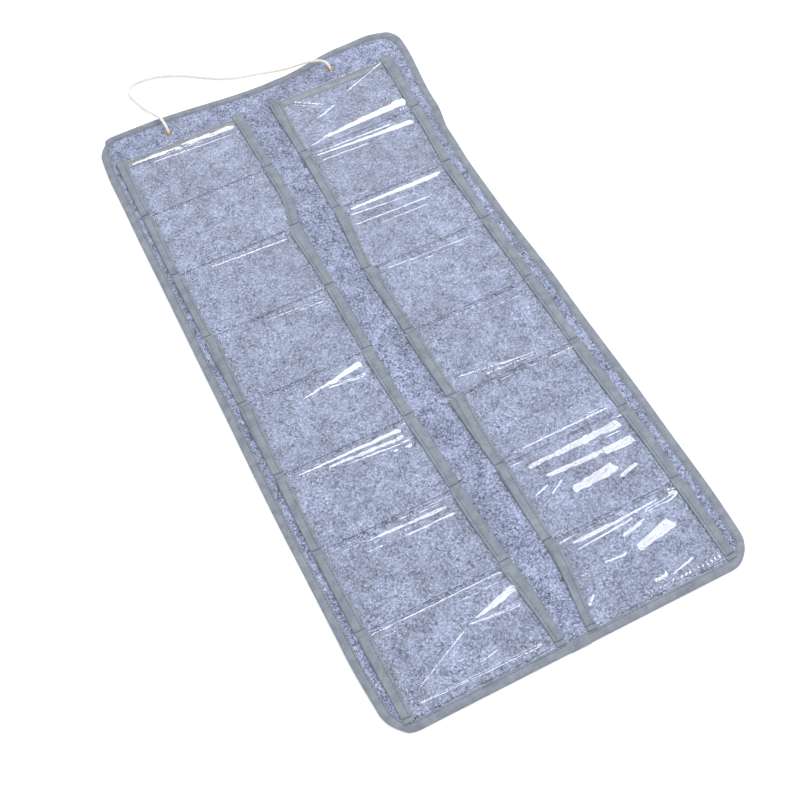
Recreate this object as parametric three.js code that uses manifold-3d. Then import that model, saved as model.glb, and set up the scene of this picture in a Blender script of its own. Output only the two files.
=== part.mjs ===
// Hanging shoe organizer: a felt back panel with two columns of clear pockets, lying face up.
// Millimetres. +X runs across the panel, +Y towards the hanging cord, +Z up out of the front.
// The origin is under the middle of the panel, on the surface that its back lies on.
import * as THREE from "three";
import { mergeVertices } from "three/addons/utils/BufferGeometryUtils.js";
import Module from "manifold-3d";

const wasm = await Module();
wasm.setup();

// Overall sizes
const PANEL_WIDTH = 600;
const PANEL_LENGTH = 1250;
const CORNER_RADIUS = 48;
const HEADER = 82; // top edge of the panel to the head of the pocket columns
const ROWS = 8;
const GAP = 0.3; // play between two pieces that touch

// Felt and the tape folded over its edge
const FELT_THICKNESS = 3;
const FELT_EDGE_THICKNESS = 1.8; // squeezed thin inside the binding
const TAPE_THICKNESS = 0.6;
const BINDING_WIDTH = 15;
const RIM_BITE = 0.5; // how far the thin rim runs into the full felt to join it

// Pocket columns
const SIDE_MARGIN = 27.5; // panel edge to the fold of the outer strips
const CENTRE_FELT = 55; // bare felt between the folds of the two inner strips
const STRIP_WIDTH = 17;
const STRIP_ON_FILM = 5; // how far a strip's front leaf covers the film's edge
const LEAF_CLEARANCE = 3; // between the film's edge and the leaf that is sewn to the felt
const UNDER_LEAF_TAB = 8; // how far that under leaf runs on past the mouth
const TOP_TAPE_WIDTH = 16;
const FILM_THICKNESS = 0.4;
const ROW_GAP = 12; // a pocket's bottom seam to the mouth of the next one
const MOUTH_RISE = 9; // how far a mouth stands off the felt at rest
const FOOT_CLEARANCE = 1; // from the last seam to the binding where its corner turns

// Eyelets, cord and the knots behind the panel
const EYELET_SPREAD = 326;
const EYELET_ABOVE_HEAD = 22; // eyelet centre above the head of the columns
const CORD_RADIUS = 2.6;
const CORD_PLAY = 0.9; // between the cord and the eyelet's bore, all round
const EYELET_WALL = 0.6;
const FLANGE_WIDTH = 2.7; // bore to the flange's rim
const KNOT_RADIUS = 7.5;
const KNOT_HEIGHT = 7;
const KNOT_LIFT = 0.2; // the knot's lowest point above the surface
const CORD_SIDES = 8;
const CORD_STEPS = 76;
const ROUND_SEGMENTS = 20;
const CORNER_SEGMENTS = 8;

// Levels and places that follow from the sizes above
const BINDING_HEIGHT = FELT_EDGE_THICKNESS + 2 * (TAPE_THICKNESS + GAP);
const FRONT_LEVEL = FELT_THICKNESS + GAP; // underside of what is sewn onto the felt
const LEAF_LEVEL = Math.max(TAPE_THICKNESS, FILM_THICKNESS) + GAP; // front leaf above FRONT_LEVEL
const TOP_EDGE = PANEL_LENGTH / 2;
const HEAD = TOP_EDGE - HEADER;
const INNER_RADIUS = CORNER_RADIUS - BINDING_WIDTH; // of the felt seen inside the binding
const CORNER_OFFSET = Math.max(0, CORNER_RADIUS - SIDE_MARGIN); // strip's fold past the arc's centre
const CORNER_CUT = INNER_RADIUS - Math.sqrt(Math.max(0, INNER_RADIUS ** 2 - CORNER_OFFSET ** 2));
const FOOT = -TOP_EDGE + BINDING_WIDTH + CORNER_CUT + FOOT_CLEARANCE; // the last bottom seam
const PITCH = (HEAD - FOOT + ROW_GAP) / ROWS;
const POCKET_LENGTH = PITCH - ROW_GAP;
const COLUMN_WIDTH = PANEL_WIDTH / 2 - SIDE_MARGIN - CENTRE_FELT / 2; // fold to fold
const COLUMN_CENTRE = (CENTRE_FELT + COLUMN_WIDTH) / 2;
const FILM_WIDTH = COLUMN_WIDTH - 2 * (STRIP_WIDTH - STRIP_ON_FILM);
const UNDER_LEAF_WIDTH = STRIP_WIDTH - STRIP_ON_FILM - LEAF_CLEARANCE;
const EYELET_Y = HEAD + EYELET_ABOVE_HEAD;
const EYELET_X = EYELET_SPREAD / 2;
const EYELET_BORE_RADIUS = CORD_RADIUS + CORD_PLAY;
const EYELET_FLANGE_RADIUS = EYELET_BORE_RADIUS + FLANGE_WIDTH;

// The felt is domed over each knot, with a flat crown that the eyelet is closed on
const KNOT_TOP = KNOT_LIFT + KNOT_HEIGHT;
const LIP_LEVEL = KNOT_TOP + GAP;
const DOME_RISE = LIP_LEVEL + EYELET_WALL + GAP;
const CROWN_HALF = EYELET_FLANGE_RADIUS + 0.2;
const CROWN_RADIUS = CROWN_HALF * Math.SQRT2 + 0.05;
const DOME_CLEARANCE = 1;
const DOME_ACROSS = 52;
const DOME_DOWN = EYELET_ABOVE_HEAD - DOME_CLEARANCE;
const DOME_UP = HEADER - EYELET_ABOVE_HEAD - BINDING_WIDTH - GAP - DOME_CLEARANCE;

const FELT = new THREE.MeshStandardMaterial({ color: 0x9aa3bd, roughness: 0.95, metalness: 0 });
const TAPE = new THREE.MeshStandardMaterial({ color: 0x868d90, roughness: 0.85, metalness: 0 });
const FILM = new THREE.MeshStandardMaterial({ color: 0xdfe6f2, roughness: 0.1, metalness: 0 });
const METAL = new THREE.MeshStandardMaterial({ color: 0x9a7442, roughness: 0.35, metalness: 1 });
const COTTON = new THREE.MeshStandardMaterial({ color: 0xefe4d2, roughness: 0.9, metalness: 0 });

function toSolid(geometry) {
  const bare = geometry.clone();
  bare.deleteAttribute("normal");
  bare.deleteAttribute("uv");
  const merged = mergeVertices(bare, 1e-4);
  const vertProperties = new Float32Array(merged.attributes.position.array);
  const triVerts = new Uint32Array(merged.index.array);
  return new wasm.Manifold(new wasm.Mesh({ numProp: 3, vertProperties, triVerts }));
}

function toGeometry(solid) {
  const mesh = solid.getMesh();
  const geometry = new THREE.BufferGeometry();
  geometry.setAttribute("position", new THREE.BufferAttribute(mesh.vertProperties, 3));
  geometry.setIndex(new THREE.BufferAttribute(mesh.triVerts, 1));
  geometry.computeVertexNormals();
  return geometry;
}

function named(name, geometry, material) {
  const mesh = new THREE.Mesh(geometry, material);
  mesh.name = name;
  return mesh;
}

// A plate with round corners, the panel's outline moved in by inset, from z = low to high.
function roundedPlate(inset, low, high) {
  const x = PANEL_WIDTH / 2 - inset;
  const y = PANEL_LENGTH / 2 - inset;
  const r = CORNER_RADIUS - inset;
  const outline = new THREE.Shape();
  outline.moveTo(x, y - r);
  outline.absarc(x - r, y - r, r, 0, Math.PI / 2);
  outline.absarc(r - x, y - r, r, Math.PI / 2, Math.PI);
  outline.absarc(r - x, r - y, r, Math.PI, 1.5 * Math.PI);
  outline.absarc(x - r, r - y, r, 1.5 * Math.PI, 2 * Math.PI);
  const depth = high - low;
  const plate = new THREE.ExtrudeGeometry(outline, {
    depth,
    bevelEnabled: false,
    curveSegments: CORNER_SEGMENTS,
  });
  return toSolid(plate.translate(0, 0, low));
}

// How far the felt is lifted at a point: a crown over each knot that eases out to nothing.
function domeLift(x, y) {
  let lift = 0;
  for (const side of [-1, 1]) {
    const dx = x - side * EYELET_X;
    const dy = y - EYELET_Y;
    const distance = Math.hypot(dx, dy);
    const reach = Math.hypot(dx / DOME_ACROSS, dy / (dy > 0 ? DOME_UP : DOME_DOWN));
    if (distance <= CROWN_RADIUS) {
      lift = DOME_RISE;
    } else if (reach < 1) {
      const crown = (reach * CROWN_RADIUS) / distance;
      const t = (reach - crown) / (1 - crown);
      lift = DOME_RISE * (1 - t * t * (3 - 2 * t));
    }
  }
  return lift;
}

// A closed sheet over a grid of x and y lines, with the given thickness, lifted by domeLift.
function domedSheet(xs, ys, thickness) {
  const corners = [];
  for (const base of [0, thickness]) {
    for (const y of ys) {
      for (const x of xs) {
        corners.push(x, y, base + domeLift(x, y));
      }
    }
  }
  const columns = xs.length;
  const rows = ys.length;
  const layer = columns * rows;
  const at = (i, j, k) => k * layer + j * columns + i;
  const faces = [];
  const quad = (a, b, c, d) => faces.push(a, b, c, a, c, d);
  for (let j = 0; j + 1 < rows; j += 1) {
    for (let i = 0; i + 1 < columns; i += 1) {
      quad(at(i, j, 1), at(i + 1, j, 1), at(i + 1, j + 1, 1), at(i, j + 1, 1));
      quad(at(i, j, 0), at(i, j + 1, 0), at(i + 1, j + 1, 0), at(i + 1, j, 0));
    }
  }
  for (let i = 0; i + 1 < columns; i += 1) {
    quad(at(i, 0, 0), at(i + 1, 0, 0), at(i + 1, 0, 1), at(i, 0, 1));
    quad(at(i + 1, rows - 1, 0), at(i, rows - 1, 0), at(i, rows - 1, 1), at(i + 1, rows - 1, 1));
  }
  for (let j = 0; j + 1 < rows; j += 1) {
    quad(at(0, j + 1, 0), at(0, j, 0), at(0, j, 1), at(0, j + 1, 1));
    quad(at(columns - 1, j, 0), at(columns - 1, j + 1, 0), at(columns - 1, j + 1, 1), at(columns - 1, j, 1));
  }
  const geometry = new THREE.BufferGeometry();
  geometry.setAttribute("position", new THREE.Float32BufferAttribute(corners, 3));
  geometry.setIndex(faces);
  return toSolid(geometry);
}

// Grid lines on one side of a dome: the crown's edge, then even steps out to its foot.
function domeLines(reach) {
  const lines = [CROWN_HALF, CROWN_RADIUS];
  const steps = 5;
  for (let i = 1; i <= steps; i += 1) {
    lines.push(CROWN_RADIUS + ((reach - CROWN_RADIUS) * i) / steps);
  }
  return lines;
}

function backPanel() {
  const across = domeLines(DOME_ACROSS);
  const xs = [-PANEL_WIDTH / 2, PANEL_WIDTH / 2];
  for (const side of [-1, 1]) {
    for (const d of across) {
      xs.push(side * EYELET_X - d, side * EYELET_X + d);
    }
  }
  const ys = [-TOP_EDGE, TOP_EDGE];
  ys.push(...domeLines(DOME_DOWN).map((d) => EYELET_Y - d));
  ys.push(...domeLines(DOME_UP).map((d) => EYELET_Y + d));
  const ascending = (a, b) => a - b;
  const sheet = domedSheet(xs.sort(ascending), ys.sort(ascending), FELT_THICKNESS);
  const inside = BINDING_WIDTH + GAP;
  const edgeLow = TAPE_THICKNESS + GAP;
  const clearAll = 10 * FELT_THICKNESS;
  const edge = roundedPlate(edgeLow, edgeLow, edgeLow + FELT_EDGE_THICKNESS);
  const rim = edge.subtract(roundedPlate(inside + RIM_BITE, -clearAll, clearAll));
  let felt = sheet.intersect(roundedPlate(inside, -clearAll, clearAll)).add(rim);
  for (const side of [-1, 1]) {
    const radius = EYELET_BORE_RADIUS + EYELET_WALL + GAP;
    const hole = new THREE.CylinderGeometry(radius, radius, 2 * clearAll, ROUND_SEGMENTS);
    hole.rotateX(Math.PI / 2).translate(side * EYELET_X, EYELET_Y, 0);
    felt = felt.subtract(toSolid(hole));
  }
  return named("back_panel", toGeometry(felt), FELT);
}

// One tape folded over the felt's edge all the way round: a channel that opens inwards.
function edgeBinding() {
  const outer = roundedPlate(0, 0, BINDING_HEIGHT);
  const channel = roundedPlate(TAPE_THICKNESS, TAPE_THICKNESS, BINDING_HEIGHT - TAPE_THICKNESS);
  const window = roundedPlate(BINDING_WIDTH, -1, BINDING_HEIGHT + 1);
  return named("edge_binding", toGeometry(outer.subtract(channel).subtract(window)), TAPE);
}

// Lifts the part of a geometry above fromZ, by nothing at y = 0 and MOUTH_RISE at the mouth.
function liftToMouth(geometry, fromZ) {
  const places = geometry.attributes.position;
  for (let i = 0; i < places.count; i += 1) {
    if (places.getZ(i) >= fromZ) {
      const share = places.getY(i) / POCKET_LENGTH;
      places.setZ(i, places.getZ(i) + MOUTH_RISE * share);
    }
  }
  return geometry;
}

// The clear front of one pocket, sewn down along y = 0 and open at its far edge.
function pocketFilm(name) {
  const film = new THREE.BoxGeometry(FILM_WIDTH, POCKET_LENGTH, FILM_THICKNESS);
  film.translate(0, POCKET_LENGTH / 2, FILM_THICKNESS / 2);
  return named(name, liftToMouth(film, -1), FILM);
}

// A side strip, folded once along its outer edge: one leaf on the felt, one over the film.
// The fold is at x = 0, and side is the way from the fold to the film.
function sideStrip(name, side) {
  const t = TAPE_THICKNESS;
  const section = [
    [0, 0],
    [UNDER_LEAF_WIDTH, 0],
    [UNDER_LEAF_WIDTH, t],
    [t, t],
    [t, LEAF_LEVEL],
    [STRIP_WIDTH, LEAF_LEVEL],
    [STRIP_WIDTH, LEAF_LEVEL + t],
    [0, LEAF_LEVEL + t],
  ];
  const shape = new THREE.Shape(section.map(([u, z]) => new THREE.Vector2(side * u, z)));
  const folded = new THREE.ExtrudeGeometry(shape, { depth: POCKET_LENGTH, bevelEnabled: false });
  folded.rotateX(Math.PI / 2).translate(0, POCKET_LENGTH, 0);
  liftToMouth(folded, LEAF_LEVEL - GAP / 2);
  const bite = 2; // the tab starts inside the leaf that it lengthens
  const tab = new THREE.BoxGeometry(UNDER_LEAF_WIDTH, UNDER_LEAF_TAB + bite, t);
  tab.translate((side * UNDER_LEAF_WIDTH) / 2, POCKET_LENGTH + (UNDER_LEAF_TAB - bite) / 2, t / 2);
  return named(name, toGeometry(toSolid(folded).add(toSolid(tab))), TAPE);
}

function pocketColumn(label, centre) {
  const column = new THREE.Group();
  column.position.set(centre, 0, FRONT_LEVEL);
  const towardsMiddle = centre > 0 ? -1 : 1;
  const sides = { inner: towardsMiddle, outer: -towardsMiddle };
  for (let row = 1; row <= ROWS; row += 1) {
    const pocket = new THREE.Group();
    pocket.position.y = HEAD - row * PITCH + ROW_GAP;
    pocket.add(pocketFilm(`pocket_film_${label}_${row}`));
    for (const [edge, side] of Object.entries(sides)) {
      const strip = sideStrip(`side_strip_${label}_${row}_${edge}`, -side);
      strip.position.x = (side * COLUMN_WIDTH) / 2;
      pocket.add(strip);
    }
    column.add(pocket);
  }
  const tapeLength = COLUMN_WIDTH - 2 * (UNDER_LEAF_WIDTH + GAP);
  const tape = new THREE.BoxGeometry(tapeLength, TOP_TAPE_WIDTH, TAPE_THICKNESS);
  tape.translate(0, HEAD - TOP_TAPE_WIDTH / 2, TAPE_THICKNESS / 2);
  column.add(named(`top_tape_${label}`, tape, TAPE));
  return column;
}

// A pressed eyelet: a flange in front, a barrel through the felt and a lip closed behind it.
function eyelet(name) {
  const inner = EYELET_BORE_RADIUS;
  const outer = inner + EYELET_WALL;
  const wide = EYELET_FLANGE_RADIUS;
  const lip = LIP_LEVEL + EYELET_WALL;
  const flange = DOME_RISE + FELT_THICKNESS + GAP;
  const crown = flange + EYELET_WALL;
  const profile = [
    [inner, LIP_LEVEL],
    [wide, LIP_LEVEL],
    [wide, lip],
    [outer, lip],
    [outer, flange],
    [wide, flange],
    [wide, crown],
    [inner, crown],
    [inner, LIP_LEVEL],
  ];
  const points = profile.map(([r, z]) => new THREE.Vector2(r, z));
  const ring = new THREE.LatheGeometry(points, ROUND_SEGMENTS);
  return named(name, ring.rotateX(Math.PI / 2), METAL);
}

function knot(name) {
  const ball = new THREE.SphereGeometry(KNOT_RADIUS, 16, 10);
  ball.rotateX(Math.PI / 2);
  ball.scale(1, 1, KNOT_HEIGHT / (2 * KNOT_RADIUS));
  return named(name, ball.translate(0, 0, KNOT_LIFT + KNOT_HEIGHT / 2), COTTON);
}

// The hanging cord lies slack: out of the left eyelet, over the edge, round a loose loop on the
// surface beyond it, and back over the edge to the right eyelet. Its two ends are told from their
// own eyelets, and the rest from the point midway between the eyelets.
const CORD_START = [
  [0, 0, LIP_LEVEL],
  [0, 0, 10.2],
  [0, 0.5, 13.4],
  [0, 2.3, 17],
  [-0.1, 5.8, 20.1],
  [-0.2, 10.8, 21.7],
  [-0.3, 17, 21.4],
];
const CORD_MIDDLE = [
  [-163.4, 25, 19.3],
  [-163.8, 35.5, 15.6],
  [-166.5, 47.5, 11.8],
  [-171, 60.5, 8.8],
  [-176.5, 76, 5.2],
  [-182, 93, 3.2],
  [-187, 111, 2.9],
  [-191.5, 129, 2.9],
  [-190.5, 144, 2.9],
  [-181, 153, 2.9],
  [-162, 156, 2.9],
  [-138, 153.5, 2.9],
  [-113, 145, 2.9],
  [-85, 130, 2.9],
  [-55, 108, 2.9],
  [-25, 87.5, 3],
  [0, 74, 3.9],
  [26, 64.5, 5.9],
  [50, 56, 7.7],
  [77, 46.5, 9.4],
  [100, 41.5, 10.8],
  [118, 39, 12],
  [131, 35.5, 13.6],
  [143, 29.5, 16],
  [151, 22, 18.8],
];
const CORD_END = [
  [-5.9, 14, 21.3],
  [-2.9, 7, 20.6],
  [-1, 2.6, 17.4],
  [-0.2, 0.5, 13.6],
  [0, 0, 10.2],
  [0, 0, LIP_LEVEL],
];

function hangingCord() {
  const route = [
    ...CORD_START.map(([x, y, z]) => [x - EYELET_X, y + EYELET_Y, z]),
    ...CORD_MIDDLE.map(([x, y, z]) => [x, y + EYELET_Y, z]),
    ...CORD_END.map(([x, y, z]) => [x + EYELET_X, y + EYELET_Y, z]),
  ];
  const path = new THREE.CatmullRomCurve3(route.map((p) => new THREE.Vector3(...p)));
  const section = new THREE.Shape();
  for (let i = 0; i < CORD_SIDES; i += 1) {
    const turn = (2 * Math.PI * i) / CORD_SIDES;
    const x = CORD_RADIUS * Math.cos(turn);
    const y = CORD_RADIUS * Math.sin(turn);
    if (i === 0) {
      section.moveTo(x, y);
    } else {
      section.lineTo(x, y);
    }
  }
  const tube = new THREE.ExtrudeGeometry(section, { steps: CORD_STEPS, extrudePath: path });
  return named("hanging_cord", tube, COTTON);
}

const organizer = new THREE.Group();
organizer.add(backPanel());
organizer.add(edgeBinding());
organizer.add(pocketColumn("left", -COLUMN_CENTRE));
organizer.add(pocketColumn("right", COLUMN_CENTRE));
for (const [label, side] of [["left", -1], ["right", 1]]) {
  const hanger = new THREE.Group();
  hanger.position.set(side * EYELET_X, EYELET_Y, 0);
  hanger.add(eyelet(`eyelet_${label}`));
  hanger.add(knot(`cord_knot_${label}`));
  organizer.add(hanger);
}
organizer.add(hangingCord());

export default organizer;
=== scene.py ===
# %% [markdown]
# # A hanging shoe organizer, lying face up
# The real thing is a sheet of grey-blue felt, bound round its edge with a folded tape. Two columns of
# eight clear film pockets are sewn onto it between pleated side strips, and a cotton cord hangs it up.
# The CAD frame already holds every piece at its true size, as plain plates. This script builds the soft,
# sewn versions round that frame, so the places below are read from the frame where it has them.
# %% Load the frame
import math

import bpy
import numpy as np
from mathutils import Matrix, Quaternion, Vector


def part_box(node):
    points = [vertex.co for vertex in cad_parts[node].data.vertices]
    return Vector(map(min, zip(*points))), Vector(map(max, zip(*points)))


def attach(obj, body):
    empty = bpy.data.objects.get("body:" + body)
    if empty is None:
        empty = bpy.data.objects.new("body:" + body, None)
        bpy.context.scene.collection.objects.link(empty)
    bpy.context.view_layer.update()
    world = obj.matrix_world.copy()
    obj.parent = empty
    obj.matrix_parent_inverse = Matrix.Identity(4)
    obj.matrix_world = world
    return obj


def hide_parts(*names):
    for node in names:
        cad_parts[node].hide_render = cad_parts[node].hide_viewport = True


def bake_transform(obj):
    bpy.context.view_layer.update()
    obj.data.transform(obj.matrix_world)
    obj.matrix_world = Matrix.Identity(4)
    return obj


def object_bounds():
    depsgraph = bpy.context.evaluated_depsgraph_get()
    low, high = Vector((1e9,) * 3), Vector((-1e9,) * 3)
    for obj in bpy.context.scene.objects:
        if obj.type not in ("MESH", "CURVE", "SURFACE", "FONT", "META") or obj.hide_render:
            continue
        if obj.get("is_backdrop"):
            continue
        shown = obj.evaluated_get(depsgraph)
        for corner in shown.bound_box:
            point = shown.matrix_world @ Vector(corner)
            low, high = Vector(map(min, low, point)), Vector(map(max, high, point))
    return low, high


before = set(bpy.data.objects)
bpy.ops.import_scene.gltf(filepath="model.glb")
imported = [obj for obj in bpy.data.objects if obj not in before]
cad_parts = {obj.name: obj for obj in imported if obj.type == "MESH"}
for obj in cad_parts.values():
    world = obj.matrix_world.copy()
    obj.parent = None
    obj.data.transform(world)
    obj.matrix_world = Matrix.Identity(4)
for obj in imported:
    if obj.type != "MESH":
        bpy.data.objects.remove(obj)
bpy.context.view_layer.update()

MM = 0.001
COLUMNS = ("left", "right")
ROWS = range(1, 9)

# %% [markdown]
# ## The camera
# A camera looks along its own -Z axis. Aiming it means turning that axis to the target, which
# to_track_quat does, and then rolling it about its line of sight. A far camera with a long lens keeps the
# sides of a long panel nearly parallel, as a product shot does.
# %% Camera
CAMERA_PLACE = Vector((-0.43578, -1.12506, 1.77509))
CAMERA_TARGET = Vector((-0.04160, -0.13608, 0.0))
CAMERA_ROLL = math.radians(-5.586)
camera = bpy.data.objects.new("camera", bpy.data.cameras.new("camera"))
bpy.context.scene.collection.objects.link(camera)
camera.data.lens = 58.53
camera.data.sensor_width = 36
camera.location = CAMERA_PLACE
camera.rotation_mode = "QUATERNION"
aimed = (CAMERA_TARGET - CAMERA_PLACE).to_track_quat("-Z", "Y")
camera.rotation_quaternion = aimed @ Quaternion((0, 0, 1), CAMERA_ROLL)
bpy.context.scene.camera = camera
print("camera at", [round(v, 3) for v in camera.location])

# %% [markdown]
# ## Studio light
# Film shows only what it mirrors, so the lamps decide where it glints. Each one is a long soft box that
# the film mirrors only where it slopes, so the flat film stays clear and every fold gets a crisp bright
# line. An area lamp's brightness is its power over its area and pi, so the power is worked out from the
# brightness wanted. The Standard view keeps a pale floor pale, and colours as they are set.
# %% World, lamps and view
BOX_BRIGHTNESS = 7.0
SKY_BRIGHTNESS = 0.92
SOFT_BOXES = {
    "box_over_foot": {"place": (0.3, -0.72, 2.2), "size": (2.2, 0.5)},
    "box_overhead": {"place": (1.5, -0.1, 2.0), "size": (0.5, 0.8)},
    "box_behind_head": {"place": (0.7, 3.3, 1.85), "size": (2.8, 0.9)},
}
world = bpy.data.worlds.new("studio")
world.use_nodes = True
world.node_tree.nodes["Background"].inputs["Color"].default_value = (0.97, 0.985, 1.0, 1)
world.node_tree.nodes["Background"].inputs["Strength"].default_value = SKY_BRIGHTNESS
bpy.context.scene.world = world
bpy.context.scene.view_settings.view_transform = "Standard"
for name, box in SOFT_BOXES.items():
    lamp = bpy.data.lights.new(name, "AREA")
    lamp.shape = "RECTANGLE"
    lamp.size, lamp.size_y = box["size"]
    lamp.energy = BOX_BRIGHTNESS * math.pi * lamp.size * lamp.size_y
    holder = bpy.data.objects.new(name, lamp)
    bpy.context.scene.collection.objects.link(holder)
    holder.location = box["place"]
    holder.rotation_mode = "QUATERNION"
    holder.rotation_quaternion = (-Vector(box["place"])).to_track_quat("-Z", "Y")
    print(name, "power", round(lamp.energy, 1))

# %% [markdown]
# ## Helpers for nodes
# A material is a graph of nodes. These two helpers add a node with its settings, and join sockets, so
# that each material below reads as a list of what it is made of.
# %% Node helpers


def add_node(tree, kind, settings=None, **inputs):
    """A new node with the given settings. Each input is a number, a colour, or another node's socket."""
    node = tree.nodes.new(kind)
    for key, value in (settings or {}).items():
        setattr(node, key, value)
    for key, value in inputs.items():
        socket = node.inputs[int(key[1:])] if key[0] == "i" and key[1:].isdigit() else node.inputs[key]
        if isinstance(value, bpy.types.NodeSocket):
            tree.links.new(value, socket)
        else:
            socket.default_value = value
    return node


def math_node(tree, operation, first, second=0.0, third=None, clamp=False):
    """The result socket of one Math node."""
    settings = {"operation": operation, "use_clamp": clamp}
    inputs = {"i0": first, "i1": second}
    if third is not None:
        inputs["i2"] = third
    return add_node(tree, "ShaderNodeMath", settings, **inputs).outputs[0]


def colour(red, green, blue):
    """A screen colour, 0 to 255 a channel, as the linear colour that shaders work in."""
    linear = []
    for value in (red, green, blue):
        share = value / 255
        linear.append(share / 12.92 if share <= 0.04045 else ((share + 0.055) / 1.055) ** 2.4)
    return (*linear, 1.0)


def start_material(name, **constants):
    """A material with one Principled shader, whose plain numbers are set on its own sockets."""
    material = bpy.data.materials.new(name)
    material.use_nodes = True
    tree = material.node_tree
    shader = tree.nodes["Principled BSDF"]
    for key, value in constants.items():
        shader.inputs[key.replace("_", " ")].default_value = value
    return material, tree, shader


def roughen(tree, shader, height, strength, distance):
    """Bumps a shader's surface by a height socket, up to a distance in metres."""
    bump = add_node(tree, "ShaderNodeBump", Height=height, Strength=strength, Distance=distance)
    tree.links.new(bump.outputs["Normal"], shader.inputs["Normal"])


print("node helpers ready")

# %% [markdown]
# ## Two effects that several finishes share
# "Patches" is soft uneven cloudiness, which felt, tape, cord and worn metal all have at their own size.
# "Ribs" is the fine ridge pattern of narrow woven tape and of spun thread. Each is a node group with
# named inputs, built once, and it puts out only a mask or a height.
# %% Node group: patches


def start_group(name, inputs, outputs):
    """An empty shader node group with the named float sockets."""
    group = bpy.data.node_groups.new(name, "ShaderNodeTree")
    for label, default in inputs.items():
        socket = group.interface.new_socket(label, in_out="INPUT", socket_type="NodeSocketFloat")
        socket.default_value = default
    for label in outputs:
        group.interface.new_socket(label, in_out="OUTPUT", socket_type="NodeSocketFloat")
    return group, group.nodes.new("NodeGroupInput"), group.nodes.new("NodeGroupOutput")


patches, given, result = start_group("patches", {"Size": 60.0, "Contrast": 3.0}, ["Mask"])
where = add_node(patches, "ShaderNodeTexCoord")
cloud = add_node(patches, "ShaderNodeTexNoise", Vector=where.outputs["Object"],
                 Scale=given.outputs["Size"], Detail=3.0, Roughness=0.6)
centred = math_node(patches, "SUBTRACT", cloud.outputs["Fac"], 0.5)
stretched = math_node(patches, "MULTIPLY", centred, given.outputs["Contrast"])
lifted = math_node(patches, "ADD", stretched, 0.5, clamp=True)
patches.links.new(lifted, result.inputs["Mask"])
print("group", patches.name)

# %% Node group: ribs
ribs, given, result = start_group("ribs", {"Ribs a metre": 900.0, "Across": 0.0}, ["Height"])
where = add_node(ribs, "ShaderNodeTexCoord")
split = add_node(ribs, "ShaderNodeSeparateXYZ", i0=where.outputs["Object"])
along = math_node(ribs, "ADD", split.outputs["X"], split.outputs["Y"])
against = math_node(ribs, "SUBTRACT", split.outputs["X"], split.outputs["Y"])
turns = math_node(ribs, "MULTIPLY", given.outputs["Ribs a metre"], 2 * math.pi)
ridge = math_node(ribs, "SINE", math_node(ribs, "MULTIPLY", along, turns))
cross = math_node(ribs, "SINE", math_node(ribs, "MULTIPLY", against, turns))
cross = math_node(ribs, "MULTIPLY", cross, given.outputs["Across"])
height = math_node(ribs, "MULTIPLY", math_node(ribs, "ADD", ridge, cross), 0.5)
ribs.links.new(height, result.inputs["Height"])
print("group", ribs.name)


def place_group(tree, group, **values):
    """One use of a node group, with its own values for the named inputs."""
    node = tree.nodes.new("ShaderNodeGroup")
    node.node_tree = group
    for key, value in values.items():
        node.inputs[key.replace("_", " ")].default_value = value
    return node


# %% [markdown]
# ## Felt
# Needled felt is a mat of curly fibres: pale grey-blue ones with darker strands lying among them. The
# level lines of a noise texture are curly and never cross, which is just how such strands look, so a thin
# band round one level is used as a strand mask. Two sizes of strand, broken up by patches, give the mat.
# %% Felt material
FELT_PALE = colour(207, 217, 249)
FELT_MID = colour(143, 154, 186)
FELT_DARK = colour(8, 14, 34)


def strands(tree, where, scale, band, offset):
    """A mask of thin curly strands: the places where a noise is near its middle level."""
    moved = add_node(tree, "ShaderNodeVectorMath", {"operation": "ADD"}, i0=where, i1=offset)
    noise = add_node(tree, "ShaderNodeTexNoise", Vector=moved.outputs[0], Scale=scale,
                     Detail=1.5, Roughness=0.55, Distortion=0.6)
    away = math_node(tree, "ABSOLUTE", math_node(tree, "SUBTRACT", noise.outputs["Fac"], 0.5))
    return math_node(tree, "SUBTRACT", 1.0, math_node(tree, "DIVIDE", away, band), clamp=True)


def mixed(tree, share, first, second):
    """A colour between two colours or sockets."""
    node = tree.nodes.new("ShaderNodeMix")
    node.data_type = "RGBA"
    for socket, value in ((node.inputs["Factor"], share), (node.inputs[6], first), (node.inputs[7], second)):
        if isinstance(value, bpy.types.NodeSocket):
            tree.links.new(value, socket)
        else:
            socket.default_value = value
    return node.outputs[2]


felt_finish, tree, shader = start_material(
    "felt", Roughness=0.95, Specular_IOR_Level=0.2, Sheen_Weight=0.25, Sheen_Roughness=0.6)
where = add_node(tree, "ShaderNodeTexCoord").outputs["Object"]
clumps = place_group(tree, patches, Size=230.0, Contrast=3.2).outputs["Mask"]
drift = place_group(tree, patches, Size=15.0, Contrast=3.4).outputs["Mask"]
speckle = place_group(tree, patches, Size=470.0, Contrast=6.5).outputs["Mask"]
coarse = strands(tree, where, 175.0, 0.06, (0.0, 0.0, 0.0))
fine = strands(tree, where, 330.0, 0.07, (0.37, 0.21, 0.0))
both = math_node(tree, "MAXIMUM", coarse, math_node(tree, "MULTIPLY", fine, 0.8))
scattered = place_group(tree, patches, Size=48.0, Contrast=5.0).outputs["Mask"]
thinned = math_node(tree, "MULTIPLY", both,
                    math_node(tree, "MULTIPLY_ADD", scattered, 0.8, 0.5, clamp=True))
ground = mixed(tree, clumps, FELT_PALE, FELT_MID)
cloudy = mixed(tree, math_node(tree, "MULTIPLY", drift, 0.3), ground, FELT_DARK)
grainy = mixed(tree, math_node(tree, "MULTIPLY", speckle, 0.34), cloudy, FELT_DARK)
hairy = mixed(tree, math_node(tree, "MULTIPLY", thinned, 0.98), grainy, FELT_DARK)
tree.links.new(hairy, shader.inputs["Base Color"])
raised = math_node(tree, "SUBTRACT", speckle, math_node(tree, "MULTIPLY", both, 0.5))
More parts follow.
